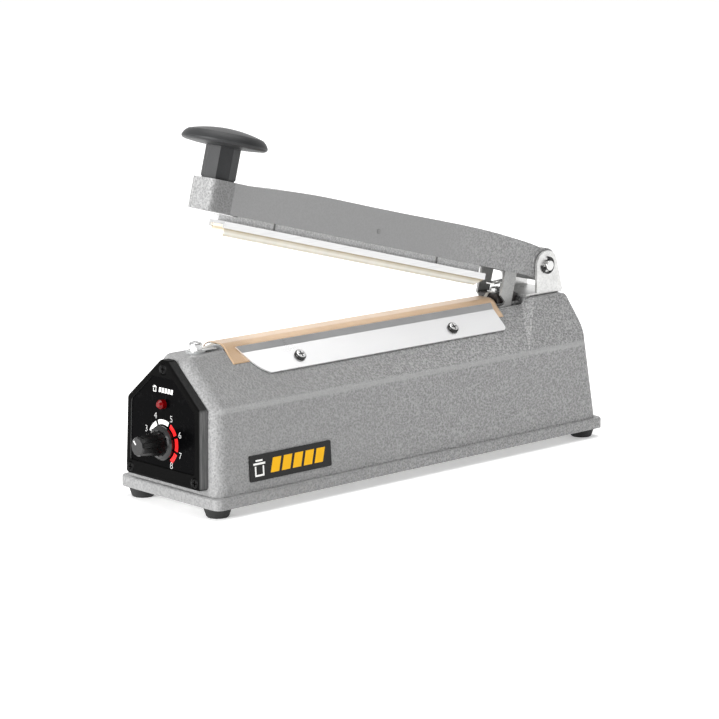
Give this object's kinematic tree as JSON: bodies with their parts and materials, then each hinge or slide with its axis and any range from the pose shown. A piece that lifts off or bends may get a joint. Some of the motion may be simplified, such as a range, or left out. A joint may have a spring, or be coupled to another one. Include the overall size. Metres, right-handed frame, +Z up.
{
  "type": "impulse heat sealer",
  "caption": "Hand impulse heat sealer with a house-shaped cast base, a hinged press arm with mushroom handle, a covered sealing bar and a front timer dial.",
  "frame": {"origin": "centre of the overall footprint at the feet's base, arm open", "axes": "+X from the control panel to the hinge, +Z up, +Y to the left of someone looking along +X"},
  "size_m": [0.3418, 0.089, 0.2162],
  "materials": {
    "hammertone_paint": "hammertone",
    "arm_paint": "hammertone",
    "zinc_plate": "zinc plated",
    "bright_steel": "machined",
    "screw_steel": "nickel plated",
    "black_screws": "black oxide",
    "clamp_aluminium": "mill finish",
    "bar_aluminium": "mill finish",
    "rail_aluminium": "anodised",
    "panel_black": "moulded",
    "label_black": "printed",
    "badge_black": "printed",
    "knob_black": "moulded",
    "handle_plastic": "moulded",
    "lamp_red": "clear red",
    "black_nylon": "moulded",
    "bakelite": "moulded",
    "rubber_black": "matte",
    "silicone": "matte",
    "ptfe_cloth": "woven glass, PTFE coated",
    "glass_cloth": "woven glass",
    "nichrome": "rolled",
    "fibreglass_board": "printed circuit",
    "relay_blue": "moulded",
    "capacitor_sleeve": "shrink sleeve",
    "core_steel": "varnished laminations",
    "coil_tape": "varnished tape",
    "switch_black": "moulded",
    "plunger_red": "moulded",
    "spring_steel": "wire",
    "grey_phenolic": "moulded",
    "black_steel": "black oxide"
  },
  "bodies": {
    "base": {"base_casting": "hammertone_paint", "bottom_plate": "zinc_plate", "rubber_feet": "rubber_black", "foot_screws": "screw_steel", "front_panel": "panel_black", "panel_label": "label_black", "panel_screws": "black_screws", "potentiometer_body": "zinc_plate", "potentiometer_nut": "screw_steel", "lamp_lens": "lamp_red", "lamp_holder": "black_nylon", "timer_board": "fibreglass_board", "board_relay": "relay_blue", "board_capacitors": "capacitor_sleeve", "transformer_core": "core_steel", "transformer_coil": "coil_tape", "transformer_frame": "zinc_plate", "transformer_screws": "screw_steel", "switch_bridge": "zinc_plate", "switch_bridge_screws": "screw_steel", "microswitch_body": "switch_black", "microswitch_screws": "screw_steel", "return_spring": "spring_steel", "sealing_bar": "bar_aluminium", "insulation_strip": "glass_cloth", "heating_element": "nichrome", "ptfe_cover": "ptfe_cloth", "clamp_strip_near": "clamp_aluminium", "clamp_strip_far": "clamp_aluminium", "clamp_screws": "screw_steel", "front_terminal_bush": "grey_phenolic", "front_terminal_lug": "clamp_aluminium", "front_terminal_nut": "screw_steel", "front_terminal_screw": "screw_steel", "rear_terminal_block": "bakelite", "rear_terminal_strap": "clamp_aluminium", "rear_terminal_screw": "screw_steel", "side_badge": "badge_black", "cord_grommet": "rubber_black", "hinge_bracket": "zinc_plate", "bracket_screws": "screw_steel", "hinge_pin": "bright_steel", "hinge_clips": "black_steel", "hinge_washers": "zinc_plate"},
    "arm": {"arm_casting": "arm_paint", "handle_knob": "handle_plastic", "handle_screw": "screw_steel", "arm_lever": "bright_steel", "lever_screw": "screw_steel", "cross_pin": "bright_steel"},
    "pressure_bar": {"pressure_rail": "rail_aluminium", "silicone_strip": "silicone"},
    "timer_dial": {"timer_knob": "knob_black", "potentiometer_shaft": "bright_steel"},
    "switch_plunger": {"microswitch_plunger": "plunger_red"}
  },
  "joints": [
    {"name": "arm_hinge", "type": "hinge", "parent": "base", "child": "arm", "pos_m": [0.14708, 0, 0.109], "axis": [0, -1, 0], "range_deg": [0, 12.86], "stiffness_Nm_per_rad": 4, "springref_deg": -25.78, "deforming": ["return_spring"]},
    {"name": "pressure_bar_rock", "type": "hinge", "parent": "arm", "child": "pressure_bar", "pos_m": [0.00572, 0, 0.14473], "axis": [0, -1, 0], "range_deg": [0, 1.65]},
    {"name": "timer_knob_turn", "type": "hinge", "parent": "base", "child": "timer_dial", "pos_m": [-0.14615, 0, 0.03869], "axis": [-0.9996, 0, 0.0279], "range_deg": [-192, 108]},
    {"name": "switch_press", "type": "slide", "parent": "base", "child": "switch_plunger", "axis": [0, 0, -1], "range_m": [0, 0.0009], "stiffness_N_per_m": 300, "springref_m": -0.001}
  ],
  "couplings": [
    {"joint": "pressure_bar_rock", "follows": "arm_hinge", "ratio": 0.1267}
  ]
}
